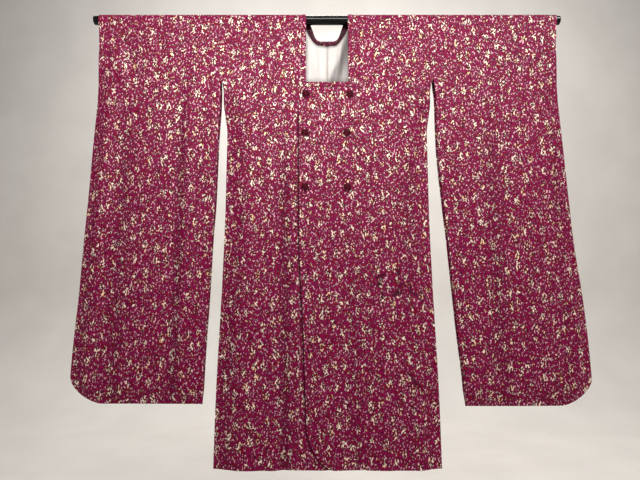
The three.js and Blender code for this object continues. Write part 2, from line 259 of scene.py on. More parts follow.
# A knot: its cord, the two circles whose sum draws the petals, and the button and backing it sits on.
KNOT_CORD = 1.45
KNOT_CIRCLES = (4.9, 5.7)
KNOT_PETALS = 5
KNOT_RISE = 1.2
KNOT_STEPS = 260
KNOT_SEAT = 0.5
BUTTON = {"radius": 4.2, "height": 3.4, "power": 2.2, "twist": 0.9, "ribs": 7, "rib_depth": 0.10}
BUTTON_PLACE = -2.6
BACKING = {"radius": 9.0, "height": 1.2, "power": 6}
DISC_RIM = 0.6

# Main folds: a line from head to foot, across and down, how wide it is and how far it stands out, or in if
# negative.
LINE = "head foot width depth"
FRONT_FOLDS = table(LINE, [
    ((-122, 240), (-110, 1500), 14, -6),
    ((-146, 280), (-142, 1500), 16, 3.5),
    ((-206, 380), (-218, 1500), 34, 4),
    ((-250, 560), (-262, 1500), 22, -3),
    ((-20, 520), (12, 1500), 34, 3.5),
    ((60, 620), (84, 1500), 24, -2.5),
    ((150, 420), (150, 1500), 36, 4),
    ((205, 860), (290, 1120), 20, -3.5),
    ((232, 300), (212, 900), 24, -3),
    ((225, 860), (262, 1600), 26, 4),
    ((250, 170), (205, 320), 22, -2),
])
BACK_FOLDS = table(LINE, [
    ((-205, 340), (-190, 1500), 36, 4),
    ((-120, 480), (-134, 1500), 28, -3.5),
    ((-48, 300), (-40, 1500), 32, 3),
    ((62, 380), (48, 1500), 30, -3),
    ((138, 320), (156, 1500), 38, 4.5),
    ((226, 520), (240, 1500), 26, -3.5),
])
# The lining's painted shade: the line on the wearer's left past which shade is painted where it is turned
# from the light and in shadow, with how soon it darkens and clears again; the strip under the collar band;
# and the foot of the neck opening.
LINING_SHADOW_LINE = table("drop x", [
    (0, 66),
    (40, 57),
    (75, 44),
    (115, 32),
    (158, 13),
    (190, 5),
    (420, -10),
])
LINING_SHADE = {
    "soft": 15, "ahead": 0.4, "turned": 0.72, "clears": 30, "later": 0.5, "cleared": 0.55,
    "band": 9, "under": 0.72, "foot": 0.5, "foot_from": 0.84, "foot_over": 0.12,
}
LINING_FOLDS = table(LINE, [
    ((60, -40), (4, 300), 9, 7),
    ((12, -60), (14, 420), 8, 3.2),
    ((-17, -60), (-22, 460), 11, 3.6),
    ((-50, -20), (-62, 420), 12, 3),
    ((96, 60), (70, 620), 14, 3),
    ((150, 100), (120, 900), 20, 2.5),
    ((-170, 160), (-140, 980), 18, 2.5),
])
SLEEVE_FOLDS = {
    "left": table(LINE, [
        ((372, 230), (398, 1300), 20, 3.5),
        ((452, 150), (470, 1300), 26, -3.5),
        ((545, 90), (570, 1300), 34, 4),
        ((622, 240), (646, 1200), 18, -2.5),
        ((604, 22), (520, 300), 15, 2.8),
        ((556, 8), (470, 210), 12, -2.4),
        ((440, 4), (398, 190), 11, 2.2),
    ]),
    "right": table(LINE, [
        ((383, 90), (388, 1300), 13, 4.5),
        ((406, 60), (413, 1300), 12, -5),
        ((486, 260), (492, 1300), 30, 3),
        ((556, 160), (572, 1300), 24, -3.5),
        ((624, 120), (640, 1250), 22, 3),
        ((640, 30), (530, 290), 14, 3.2),
        ((600, 6), (512, 240), 11, -3),
        ((545, -6), (462, 170), 11, 2.8),
        ((492, -6), (446, 190), 9, -2.2),
    ]),
}

# Small creases in the cloth's own sizes, given front and back.
FRONT_CREASES = table(LINE, [
    ((306, 186), (247, 250), 5, -1.6),
    ((300, 205), (262, 268), 6, 1.1),
    ((124, 754), (156, 736), 4.2, -2.6),
    ((154, 730), (131, 782), 4.2, -3),
    ((149, 776), (147, 808), 4.2, -2.4),
    ((197, 708), (186, 772), 4.2, -3),
    ((211, 755), (168, 803), 4.4, -3),
    ((166, 800), (216, 782), 4.2, -2.6),
    ((207, 774), (268, 817), 4.2, -2.4),
    ((169, 700), (166, 792), 12, 3),
    ((178, 951), (272, 1074), 7, -1.5),
    ((214, 1082), (282, 1166), 7, 1.3),
    ((-279, 846), (-86, 838), 4, -0.9),
    ((84, 848), (286, 842), 4, -0.8),
    ((-300, 196), (-232, 284), 6, -1.2),
    ((-262, 1010), (-180, 1140), 8, 1.1),
    ((-240, 60), (-196, 170), 9, 0.9),
    ((128, 70), (160, 190), 9, -0.8),
    ((-60, 900), (40, 1030), 8, -1.0),
])
BACK_CREASES = table(LINE, [
    ((300, 196), (228, 292), 6, -1.4),
    ((-302, 190), (-240, 280), 6, -1.2),
    ((-260, 842), (270, 850), 4, -0.9),
    ((-160, 560), (-96, 690), 7, 1.1),
    ((110, 930), (214, 1052), 7, -1.3),
    ((-220, 1020), (-132, 1130), 8, 1.2),
    ((30, 150), (96, 260), 8, -0.9),
])
SLEEVE_CREASES = table(LINE, [
    ((330, 842), (672, 850), 4, -0.9),
    ((392, 36), (452, 150), 8, -1.2),
    ((436, 20), (520, 170), 9, 1.2),
    ((498, 30), (566, 150), 8, -1.1),
    ((560, 18), (628, 160), 9, 1.2),
    ((608, 60), (646, 214), 7, -1.2),
    ((438, 535), (446, 800), 6, -0.8),
    ((560, 640), (590, 900), 8, 0.9),
    ((400, 930), (520, 1030), 9, -1.1),
])

# Colours as seen on screen, 0 to 255.
COLOURS = {
    "crimson": (146, 4, 38),
    "magenta": (150, 4, 80),
    "deep red": (30, 0, 8),
    # The next colour is painted shade, for creases, fold hollows, the line beside the free edge and the
    # inside of the neck.
    "painted shade plum": (44, 0, 20),
    "cream": (255, 232, 216),
    "gold": (254, 214, 172),
    "pink gold": (255, 188, 210),
    "sheen pink": (235, 120, 160),
    "satin white": (216, 211, 207),
    # The next colour is painted shade and shadow on the lining.
    "satin shade": (206, 200, 195),
    "satin painted shade": (66, 54, 56),
    "wine": (104, 5, 33),
    # The next colour is the cord's nearly black patches and the painted shade between its strands.
    "wine dark and groove shade": (34, 0, 10),
    "wine light": (172, 40, 78),
    "black": (9, 9, 8),
    "dust": (96, 90, 82),
    "paper": (226, 222, 216),
    "paper shade": (220, 216, 210),
}
STAGE = {"front": 4500, "wall": 2800, "bend": 900, "drop": 1620, "height": 5000, "half": 7000, "steps": 24}

# Gold print. In millimetres: its groups, a fleck, the waves that move the groups, the changes of the loose
# flecks, of tone and of wear. Cover is how much is gold over all, gather and loose how much more or less in
# a group and outside it. Edge is how soon a fleck starts, and rim how far the dark round it reaches.
FLECK = {
    "group": 28, "size": 4.5, "stir": 4, "clump": 11, "tone": 18, "worn": 3.2,
    "cover": 0.374, "gather": 0.07, "loose": 0.1, "edge": 0.035, "rim": 0.11,
    "stirred": 1.6, "tall": (1, 0.57, 1), "turn": -9, "core": (0.3, 0.46), "inner": 0.15, "uneven": 0.62,
    "slim": (1, 0.6, 1), "lies": ((34, (0, 0, 0)), (-27, (0.37, 0.21, 0))),
}

# Finishes. Sizes and heights are millimetres, turns degrees, and a step is where a soft step begins and
# ends, then what it goes from and to where that isn't 0 to 1.
SILK = {
    "patch": 9, "patch_tall": (1, 0.7, 1), "patch_turn": -25, "patch_step": (0.34, 0.52),
    "patch_in_group": -0.12, "mottle": 2.4, "mottle_step": (0.35, 0.65), "mottled": 0.45,
    # Painted shade darkens the foil and, past a step, hides the flecks.
    "cream_step": (0.15, 0.45), "gold_step": (0.52, 0.66), "foil_in_painted_shade": 0.85,
    "painted_shade_step": (0.3, 0.65, 1, 0.12), "worn_step": (0.4, 0.56, 0.66, 1), "unworn_step": (0.1, 0.5),
    "metal": 0.2, "rough": 0.56, "foil_rough": -0.16, "thread": 0.5, "crepe": 0.55,
    "foil_bump": (0.12, 0.6), "weave_bump": (0.08, 0.55),
}
SATIN = {
    "streak": 5, "streak_long": (1, 0.06, 1), "streak_step": (0.35, 0.65),
    "rough_step": (0.3, 0.7, 0.42, 0.52), "thread": 0.35, "crepe": 0.25, "weave_bump": (0.04, 0.4),
}
CORD = {
    "lay": 1.5, "slant": 0.8, "strand_step": (0.05, 0.6), "light": 3, "light_step": (0.52, 0.66, 0, 0.75),
    "dark": 5, "dark_step": (0.56, 0.44, 0, 0.8), "bump": (0.25, 0.8),
}
LACQUER = {
    "cloud": 40, "cloud_long": (0.3, 1, 1), "rough_step": (0.3, 0.7, 0.16, 0.26), "dust_from": 0.6,
    "dust": 3, "dust_step": (0.45, 0.75), "dusty": 0.12, "uneven": 6, "bump": (0.05, 0.3),
}
PAPER = {"mottle": 300, "mottle_step": (0.3, 0.7)}


def smooth(value):
    """Soft step: three times the square less twice the cube of the value held between 0 and 1."""
    t = np.clip(value, 0, 1)
    return t * t * (3 - 2 * t)


def along(rows, column, drop):
    """A table's column at each drop. Between two rows it is a cubic whose slope at a row is the harmonic
    mean of the slopes on its two sides, so that it never swings past the rows."""
    x = np.array([row["drop"] for row in rows], float)
    y = np.array([row[column] for row in rows], float)
    slope = np.diff(y) / np.diff(x)
    product = slope[:-1] * slope[1:]
    total = np.where(product > 0, slope[:-1] + slope[1:], 1)
    bend = np.concatenate([slope[:1], np.where(product > 0, 2 * product / total, 0), slope[-1:]])
    i = np.clip(np.searchsorted(x, drop, side="right") - 1, 0, len(x) - 2)
    step = x[i + 1] - x[i]
    t = np.clip((drop - x[i]) / step, 0, 1)
    return (
        y[i] * (2 * t**3 - 3 * t**2 + 1)
        + y[i + 1] * (3 * t**2 - 2 * t**3)
        + step * (bend[i] * (t**3 - 2 * t**2 + t) + bend[i + 1] * (t**3 - t**2))
    )


def bell(value, middle, width):
    """One at the middle, falling to a third a width away from it."""
    reach = (value - middle) / width
    return np.exp(-reach * reach)


def fold_lift(folds, x, drop):
    """Sum of bell curves across each fold's line, faded in and out along the first and last quarter."""
    lift = np.zeros(np.broadcast(x, drop).shape)
    for fold in folds:
        (head_x, head_drop), (foot_x, foot_drop) = fold["head"], fold["foot"]
        t = (drop - head_drop) / (foot_drop - head_drop)
        across = (x - head_x - (foot_x - head_x) * t) / fold["width"]
        fade = smooth(t / FOLD_FADE) * smooth((1 - t) / FOLD_FADE)
        lift = lift + fold["depth"] * np.exp(-across * across) * fade
    return lift


def crease_lift(creases, x, drop):
    """Each crease is a bell curve of the distance from its line, uneven along it by a slow wave, and it
    wanders sideways by a third of its width."""
    lift = np.zeros(np.broadcast(x, drop).shape)
    for number, crease in enumerate(creases):
        (head_x, head_drop), (foot_x, foot_drop) = crease["head"], crease["foot"]
        run = np.array([foot_x - head_x, foot_drop - head_drop], float)
        length = float(np.hypot(*run))
        run /= length
        t = ((x - head_x) * run[0] + (drop - head_drop) * run[1]) / length
        side = (x - head_x) * run[1] - (drop - head_drop) * run[0]
        side = side / crease["width"] + CREASE["wander"] * np.sin(CREASE["wander_wave"] * t + number)
        wave = np.sin(CREASE["uneven_wave"] * t + CREASE["start"] * number)
        depth = crease["depth"] * (1 - CREASE["uneven"] + CREASE["uneven"] * wave)
        fade = smooth(t / CREASE["fade"]) * smooth((1 - t) / CREASE["fade"])
        lift = lift + depth * np.exp(-side * side) * fade
    return lift


def ripple(x, drop, seed):
    """Faint unevenness of hanging silk: six slow waves with fixed directions and starts, 0.25 mm each."""
    chance = np.random.default_rng(seed)
    lift = np.zeros(np.broadcast(x, drop).shape)
    for length in RIPPLE["lengths"]:
        turn, start = chance.uniform(-RIPPLE["turn"], RIPPLE["turn"]), chance.uniform(0, 2 * math.pi)
        way = x * math.cos(turn) + drop * math.sin(turn)
        lift = lift + RIPPLE["depth"] * np.sin(2 * math.pi * way / length + start)
    return lift * smooth(drop / RIPPLE["from_rod"])


def sway(x, drop):
    """Slow drift of front and back together, nothing at the rod and most at the hem."""
    return SWAY["depth"] * np.sin(x / SWAY["length"] + SWAY["start"]) * smooth(drop / HEM_DROP)


def body_depth(x, drop, side):
    """Distance from the middle plane to the inner face of the body: the table's room and the folds,
    closing to half a seam gap at the side seams below the armhole."""
    half_width = along(BODY_SIDE, "front" if side < 0 else "back", drop)
    to_edge = smooth((half_width - np.abs(x)) / SIDE_CLOSING)
    closed = smooth((drop - ARMHOLE_DROP) / (SIDE_SEAM_DROP - ARMHOLE_DROP))
    folds, creases = (FRONT_FOLDS, FRONT_CREASES) if side < 0 else (BACK_FOLDS, BACK_CREASES)
    lift = fold_lift(folds, x, drop) + crease_lift(creases, x, drop) + ripple(x, drop, RIPPLE["body"] + side)
    room = along(BODY_ROOM, "room", drop) + lift * to_edge
    return room * (1 - closed) + (SEAM_GAP / 2 * (1 - to_edge) + room * to_edge) * closed


def body_point(x, drop, side, out, layer):
    """Points of the body's cloth. Above the rod's axis they lie on a circle round it; below it they
    stand off the middle plane by body_depth, the step of the top layer and the distance out. Along the
    top front's free edge the top layer curls out and the one below falls in, each by a bell curve."""
    x, drop, out = np.broadcast_arrays(x, drop, out)
    angle = math.pi / 2 + drop / FOLD_RADIUS
    radius = FOLD_RADIUS + out
    below = np.maximum(drop, 0)
    step = layer * OVER_STEP * smooth(below / NECK_DROP) * smooth((SHOULDER_HALF - np.abs(x)) / STEP_BLEND)
    depth = body_depth(x, below, side) + step + out
    if side < 0:
        outside = outside_edge(x, below)
        lip = FREE_EDGE["lip"] * bell(outside, 0, FREE_EDGE["lip_width"])
        trough = FREE_EDGE["trough"] * bell(outside, FREE_EDGE["trough_place"], FREE_EDGE["trough_width"])
        shown = smooth((below - FREE_EDGE["start"]) / FREE_EDGE["fade"])
        depth = depth + np.where(layer == 1, lip, -trough) * shown
    round_rod = drop < 0
    y = np.where(round_rod, side * radius * np.sin(angle), sway(x, below) + side * depth)
    z = np.where(round_rod, radius * np.cos(angle), -drop)
    return np.stack([x, y, z], axis=-1)


def outside_edge(x, drop):
    """Distance from the nearest point of the top front's free edge, above zero outside the panel and
    below zero under it."""
    start = np.stack([over_edge["x"][:-1], over_edge["drop"][:-1]], axis=-1)
    run = np.stack([np.diff(over_edge["x"]), np.diff(over_edge["drop"])], axis=-1)
    place = np.stack(np.broadcast_arrays(x, drop), axis=-1)[..., None, :] - start
    share = np.clip((place * run).sum(axis=-1) / (run * run).sum(axis=-1), 0, 1)
    near = np.linalg.norm(place - share[..., None] * run, axis=-1).min(axis=-1)
    return np.where(x < np.interp(drop, over_edge["drop"], over_edge["x"]), near, -near)


def crease_shade(creases, x, drop):
    """Painted shade of the deepest creases, 0 to 1: it grows with the depth past the first third of a
    millimetre."""
    deep = -crease_lift(creases, x, drop) - CREASE_SHADE["from"]
    return CREASE_SHADE["depth"] * smooth(deep / CREASE_SHADE["reach"])


def fold_shade(folds, x, drop):
    """Painted shade of the hollows of the long folds, 0 to 1: it grows with the depth."""
    return FOLD_SHADE["depth"] * smooth(-fold_lift(folds, x, drop) / FOLD_SHADE["reach"])


def body_shade(x, drop, side, layer):
    """Painted shade on the silk of the body, 0 to 1: in its hollows and deepest creases, and under the top
    layer along the line beside that layer's free edge."""
    folds, creases = (FRONT_FOLDS, FRONT_CREASES) if side < 0 else (BACK_FOLDS, BACK_CREASES)
    shade = np.maximum(crease_shade(creases, x, drop), fold_shade(folds, x, drop))
    if side < 0 and layer == 0:
        line = EDGE_SHADE["depth"] * bell(outside_edge(x, drop), EDGE_SHADE["place"], EDGE_SHADE["width"])
        shade = np.maximum(shade, line * smooth((drop - FREE_EDGE["start"]) / FREE_EDGE["fade"]))
    return shade


def through(values, steps):
    """A smooth line through a column of values, steps points to each gap: the cubic whose slope at a
    value is half the difference of its neighbours."""
    v = np.asarray(values, float)
    padded = np.concatenate([[2 * v[0] - v[1]], v, [2 * v[-1] - v[-2]]])
    i = np.repeat(np.arange(len(v) - 1), steps)
    t = np.tile(np.arange(steps) / steps, len(v) - 1)
    before, start, end, after = padded[i], padded[i + 1], padded[i + 2], padded[i + 3]
    line = 0.5 * (
        2 * start
        + (end - before) * t
        + (2 * before - 5 * start + 4 * end - after) * t**2
        + (3 * start - before - 3 * end + after) * t**3
    )
    return np.append(line, v[-1])


def stations(start, end, spacing):
    """Even stations from start to end, both included, no further apart than spacing."""
    return np.linspace(start, end, max(2, int(math.ceil(abs(end - start) / spacing)) + 1))


def towards_edges(count, near, sharp):
    """Shares from 0 to 1 in count even steps, with extra ones near the end that is finished: the last
    steps shrink by halves, sharp times."""
    even = np.linspace(0, 1, count)
    extra = 1 - near * 0.5 ** np.arange(1, sharp + 1)
    return np.unique(np.concatenate([even, extra]))


def grid_quads(rows, columns):
    """Vertex numbers of a grid's quads, in rows and columns."""
    k = np.arange(rows * columns).reshape(rows, columns)
    return np.stack([k[:-1, :-1], k[:-1, 1:], k[1:, 1:], k[1:, :-1]], axis=-1).reshape(-1, 4)


def tube_quads(rings, around):
    """Vertex numbers of the quads between rings of points, each ring closed on itself."""
    k = np.arange(rings * around).reshape(rings, around)
    after = np.roll(k, -1, axis=1)
    return np.stack([k[:-1], after[:-1], after[1:], k[1:]], axis=-1).reshape(-1, 4)


def rim_quads(loop, offset):
    """Quads between a line of vertices on the outer face and the same line, offset on, on the inner."""
    return np.stack([loop[1:], loop[:-1], loop[:-1] + offset, loop[1:] + offset], axis=-1)


def finish_mesh(name, points, quads, uv, material, shade=None):
    """Puts points (millimetres), quads and their flat coordinates (millimetres) into a mesh, joins equal
    corners, drops faces with no area and turns the whole shell so that it faces outwards. Shade is painted
    shade, a value for each point from 0 to 1, that its material reads."""
    corners = points[quads]
    volume = np.einsum("ij,ij->i", corners[:, 0], np.cross(corners[:, 1], corners[:, 2])).sum()
    volume += np.einsum("ij,ij->i", corners[:, 0], np.cross(corners[:, 2], corners[:, 3])).sum()
    if volume < 0:
        quads = quads[:, ::-1]
    mesh = bpy.data.meshes.new(name)
    mesh.from_pydata((points * MM).tolist(), [], quads.tolist())
    layer = mesh.uv_layers.new(name="cut")
    layer.data.foreach_set("uv", (uv[quads.ravel()] * MM).ravel())
    if shade is not None:
        mesh.attributes.new("shade", "FLOAT", "POINT").data.foreach_set("value", shade.ravel())
    bm = bmesh.new()
    bm.from_mesh(mesh)
    bmesh.ops.remove_doubles(bm, verts=bm.verts, dist=SAME_POINT * MM)
    bmesh.ops.dissolve_degenerate(bm, edges=bm.edges, dist=SAME_POINT * MM)
    bm.to_mesh(mesh)
    bm.free()
    mesh.polygons.foreach_set("use_smooth", np.ones(len(mesh.polygons), bool))
    mesh.materials.append(material)
    obj = bpy.data.objects.new(name, mesh)
    bpy.context.collection.objects.link(obj)
    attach(obj, "root")
    return obj


def round_rims(obj):
    """Takes the hard corners off a wall's rims."""
    bevel = obj.modifiers.new("rounded rims", "BEVEL")
    bevel.width = RIM_ROUND * MM
    bevel.segments = RIM_SEGMENTS
    bevel.limit_method = "ANGLE"
    bevel.angle_limit = math.radians(RIM_ANGLE)
    bevel.use_clamp_overlap = True


def all_round(k):
    """The line of a grid's vertices round its four sides."""
    return [np.concatenate([k[0, :-1], k[:-1, -1], k[-1, :0:-1], k[::-1, 0]])]


def wall(name, outer, inner, uv, shade, material, rims=all_round, rounded=True):
    """A closed wall: a grid of outer points, the same grid inside it, and rims along the lines that a
    function picks from the grid of vertex numbers. Elsewhere the two grids meet."""
    rows, columns = outer.shape[:2]
    count = rows * columns
    lines = rims(np.arange(count).reshape(rows, columns))
    quads = grid_quads(rows, columns)
    quads = np.concatenate([quads, quads[:, ::-1] + count] + [rim_quads(line, count) for line in lines])
    points = np.concatenate([outer.reshape(-1, 3), inner.reshape(-1, 3)])
    flat, shade = np.concatenate([uv.reshape(-1, 2)] * 2), np.concatenate([shade.ravel()] * 2)
    obj = finish_mesh(name, points, quads, flat, material, shade)
    if rounded:
        round_rims(obj)
    return obj


def flat_cut(x, drop, side, shift):
    """Flat coordinates of the cloth before it was hung: across, and the path over the rod, moved on by the
    cut shift once for each piece before."""
    x, drop, side = np.broadcast_arrays(x, drop, side)
    return np.stack([x + CUT_SHIFT[0] * shift, side * (drop - TOP_ARC) + CUT_SHIFT[1] * shift], axis=-1)


def corner_used(turn):
    """Share of a rounded corner's width and height used as it turns from upright (0) to level (1)."""
    angle = turn * math.pi / 2
    return 1 - np.abs(np.cos(angle)) ** CORNER_POWER, np.abs(np.sin(angle)) ** CORNER_POWER


# Fine lines of the back neck, from the rod to the centre back, and the edge cut a seam gap outside them.
neck_line = {column: through([row[column] for row in BACK_NECK], NECK_STEPS) for column in BACK_NECK[0]}
for column in ("inner_drop", "outer_drop"):
    neck_line[column][0] = TOP_ARC
band_x = neck_line["outer_x"] - neck_line["inner_x"]
band_drop = neck_line["outer_drop"] - neck_line["inner_drop"]
band_length = np.hypot(band_x, band_drop)
neck_edge_x = np.maximum(neck_line["outer_x"] + SEAM_GAP * band_x / band_length, SEAM_GAP / 2)
neck_edge_drop = neck_line["outer_drop"] + SEAM_GAP * band_drop / band_length

# The drops of the rows: round the rod, down the straight part and round the front's lower corner.
corner_turns = np.linspace(0, 1, CORNER_STEPS["front"] + 1)[1:]
hem_drops = HEM_DROP - FRONT_CORNER["height"] * (1 - corner_used(corner_turns)[1])
straight_drops = stations(0, HEM_DROP - FRONT_CORNER["height"], ROW_SPACING)
creased = straight_drops[(straight_drops > CREASED_DROPS[0]) & (straight_drops < CREASED_DROPS[1])]
straight_drops = np.union1d(straight_drops, (creased[1:] + creased[:-1]) / 2)
rod_drops = stations(TOP_ARC, 0, ROD_SPACING)[:-1]


def free_edge(hand, above):
    """The free edge of an overlap panel at the drops above its lower corner and then round the corner."""
    drop = np.concatenate([above, hem_drops])
    turn = np.concatenate([np.zeros(len(above)), corner_turns])
    straight = along(OVER_EDGE, "x", drop) if hand > 0 else OVERLAP_REACH
    return {"x": straight + hand * FRONT_CORNER["width"] * corner_used(turn)[0], "drop": drop}


over_edge = free_edge(1, stations(NECK_DROP, straight_drops[-1], EDGE_SPACING))


def edge_round(distance):
    """How full a wall is near a finished edge: a quarter circle over the reach."""
    t = np.clip(distance / EDGE_REACH, 0, 1)
    return np.sqrt(1 - (1 - t) ** 2)


def body_panel(name, hand, material, shift):
    """One length of cloth from the front hem over the rod to the back hem. Rows are level; in each, the
    columns share out the width between the neck or centre seam and the side."""
    front = np.concatenate([rod_drops, straight_drops, hem_drops])[::-1]
    below = np.concatenate([straight_drops, hem_drops])
    below = below[below > neck_edge_drop[-1] + ROW_CLEAR]
    split = len(front) - 1
    drop = np.concatenate([front[:-1], neck_edge_drop, below])[:, None]
    side = np.where(np.arange(len(drop)) < split, -1, 1)[:, None]
    front_neck = np.full(split, NECK_HALF + COLLAR_WIDTH + SEAM_GAP)
    neck = np.concatenate([front_neck, neck_edge_x, np.full(len(below), SEAM_GAP / 2)])[:, None]
    edge = np.where(side < 0, along(BODY_SIDE, "front", drop), along(BODY_SIDE, "back", drop))
    share = towards_edges(*COLUMNS["body"])[None, :]
    if hand < 0:
        share = share**SEAM_CROWDING
    x = hand * (neck + (edge - neck) * share)
    layer = 1 if hand > 0 else 0
    front_part, back_part = (x[:split], drop[:split], -1), (x[split:], drop[split:], 1)

    def face(out):
        return np.concatenate([body_point(*front_part, out, layer), body_point(*back_part, out, 0)])

    # Painted shade of the body's folds, creases and the line beside the free edge.
    shade = np.concatenate([body_shade(*front_part, layer), body_shade(*back_part, 0)])
    return wall(name, face(CLOTH_WALL), face(0), flat_cut(x, drop, side, shift), shade, material)


def overlap_panel(name, hand, material, shift):
    """The straight panel sewn to a front, from the collar to the hem, between the seam and a free edge
    that the table gives, with the lower corner rounded."""
    first = NECK_DROP + COLLAR_WIDTH + SEAM_GAP
    edge = free_edge(hand, np.concatenate([[first], straight_drops[straight_drops > first + ROW_CLEAR]]))
    drop = edge["drop"][:, None]
    share = towards_edges(*COLUMNS["overlap"])[None, ::-1]
    if hand < 0:
        share = share**SEAM_CROWDING
    x = hand * (NECK_HALF + COLLAR_WIDTH) * (1 - share) + edge["x"][:, None] * share
    layer = 1 if hand > 0 else 0
    outer, inner = body_point(x, drop, -1, CLOTH_WALL, layer), body_point(x, drop, -1, 0, layer)
    return wall(name, outer, inner, flat_cut(x, drop, -1, shift), body_shade(x, drop, -1, layer), material)


def collar_band(name, material, shift):
    """A folded band carried along the neck edge. Each section runs from its free edge to its sewn one,
    and its outer face is 3 mm out with a soft crown: fullest in the middle, two thirds at the edges.
    Behind the neck the free edge rises, and beside the middle two lobes hang lower and stand fuller, by bell
    curves. There shade is painted on the band, lighter on the lobes and with painted light on a lit place on
    each side."""
    outer_half = NECK_HALF + COLLAR_WIDTH
    runs = [
        ((-OVERLAP_REACH, NECK_DROP), (-OVERLAP_REACH, NECK_DROP + COLLAR_WIDTH)),
        ((NECK_HALF - COLLAR_WIDTH, NECK_DROP), (NECK_HALF - COLLAR_WIDTH, NECK_DROP + COLLAR_WIDTH)),
        ((NECK_HALF, NECK_DROP), (outer_half, NECK_DROP + COLLAR_WIDTH)),
        ((NECK_HALF, NECK_DROP - COLLAR_WIDTH), (outer_half, NECK_DROP - COLLAR_WIDTH)),
        ((NECK_HALF, 0), (outer_half, 0)),
        ((NECK_HALF, TOP_ARC), (outer_half, TOP_ARC)),
    ]
    points = np.array(runs, float)
    front = np.concatenate(
        [
            points[k] + (points[k + 1] - points[k]) * np.linspace(0, 1, count, endpoint=False)[:, None, None]
            for k, count in enumerate(COLLAR_STEPS)
        ]
    )
    back_x = np.stack([neck_line["inner_x"], neck_line["outer_x"]], axis=-1)
    back_drop = np.stack([neck_line["inner_drop"], neck_line["outer_drop"]], axis=-1)
    half = np.concatenate([front, np.stack([back_x, back_drop], axis=-1)])
    sections = np.concatenate([half, (half * [-1, 1])[::-1][1:]])
    behind = np.arange(len(half)) >= len(front)
    behind = np.concatenate([behind, behind[::-1][1:]])[:, None]
    layer = np.where(np.arange(len(sections)) < len(front), 1, 0)[:, None]
    share = np.linspace(0, 1, COLLAR_ACROSS)
    place = sections[:, 0, None, :] + (sections[:, 1] - sections[:, 0])[:, None, :] * share[None, :, None]
    x, drop = place[..., 0], place[..., 1]
    crown = 1 - np.abs(2 * share - 1) ** COLLAR_CROWN["power"]
    out = COLLAR_WALL * (COLLAR_CROWN["edge"] + COLLAR_CROWN["rise"] * crown)[None, :]

    from_middle = np.abs(x)
    lobes = bell(from_middle, GATHER["place"], GATHER["width"]) * behind
    fuller = (1 - share) * smooth(BAND_RISE["flat"] - from_middle / BAND_RISE["half"]) * behind
    drop = drop - BAND_RISE["height"] * fuller + GATHER["dip"] * lobes * share

    def face(height):
        front_face = body_point(x, drop, -1, height, layer)
        return np.where(behind[..., None], body_point(x, drop, 1, height, 0), front_face)

    travel = np.concatenate([[0], np.cumsum(np.hypot(*np.diff(sections.mean(axis=1), axis=0).T))])
    along_band = travel[:, None] + CUT_SHIFT[0] * shift
    uv = np.stack(np.broadcast_arrays(along_band, share[None, :] * COLLAR_WIDTH), axis=-1)
    lit = bell(share, BAND_SHADE["lit_place"], BAND_SHADE["lit_width"])[None, :]
    lit = lit * bell(from_middle, BAND_RISE["half"] / 2, BAND_RISE["half"] / 3)
    # Painted shade inside the neck, with painted light on the lobes and a lit place on each side.
    shade = BAND_SHADE["depth"] * smooth(drop / BAND_SHADE["reach"]) * behind
    shade = shade * (1 - BAND_SHADE["lit"] * np.maximum(lit, lobes))
    return wall(name, face(out), face(-GATHER["swell"] * lobes), uv, shade, material)


def back_lining(name, hand, material, shift):
    """White lining inside one half of the back: the back's own rows, offset inwards, with soft folds of its
    own that stand further in. Shade is painted on it, growing in soft steps past the line where it is turned
    from the light and in shadow, under the collar band and at the foot of the neck."""
    neck_foot = neck_edge_drop[-1]
    below = straight_drops[(straight_drops > neck_foot + ROW_CLEAR) & (straight_drops < LINING_HEM)]
    low = hem_drops[hem_drops < LINING_HEM - ROW_CLEAR]
    drop = np.unique(np.concatenate([neck_edge_drop[neck_edge_drop > LINING_TOP], below, low, [LINING_HEM]]))
    drop = drop[:, None]
    neck = np.where(drop < neck_foot, np.interp(drop, neck_edge_drop, neck_edge_x), LINING_SEAM / 2)
    edge = along(BODY_SIDE, "back", drop)
    x = hand * (neck + (edge - neck) * np.linspace(0, LINING_SHARE, LINING_COLUMNS)[None, :])
    inward = np.maximum(fold_lift(LINING_FOLDS, x, drop), 0)
    gap = -LINING_GAP - inward
    outer = body_point(x, drop, 1, gap, 0)
    inner = body_point(x, drop, 1, gap - LINING_WALL, 0)
    # Painted shade past the line of the shadow, clearing again further on; then painted shade under the band
    # and at the foot.
    past = x - along(LINING_SHADOW_LINE, "x", drop)
    shade = LINING_SHADE["turned"] * smooth(past / LINING_SHADE["soft"] + LINING_SHADE["ahead"])
    clearing = smooth(past / LINING_SHADE["clears"] - LINING_SHADE["later"])
    shade = shade * (1 - LINING_SHADE["cleared"] * clearing)
    band_foot = np.interp(np.abs(x), neck_edge_x[::-1], neck_edge_drop[::-1])
    under = LINING_SHADE["under"] * (1 - smooth((drop - band_foot) / LINING_SHADE["band"]))
    down = (drop - LINING_SHADE["foot_from"] * NECK_DROP) / (LINING_SHADE["foot_over"] * NECK_DROP)
    shade = 1 - (1 - shade) * (1 - under) * (1 - LINING_SHADE["foot"] * smooth(down))
    return wall(name, outer, inner, flat_cut(x, drop, 1, shift), shade, material, rounded=False)


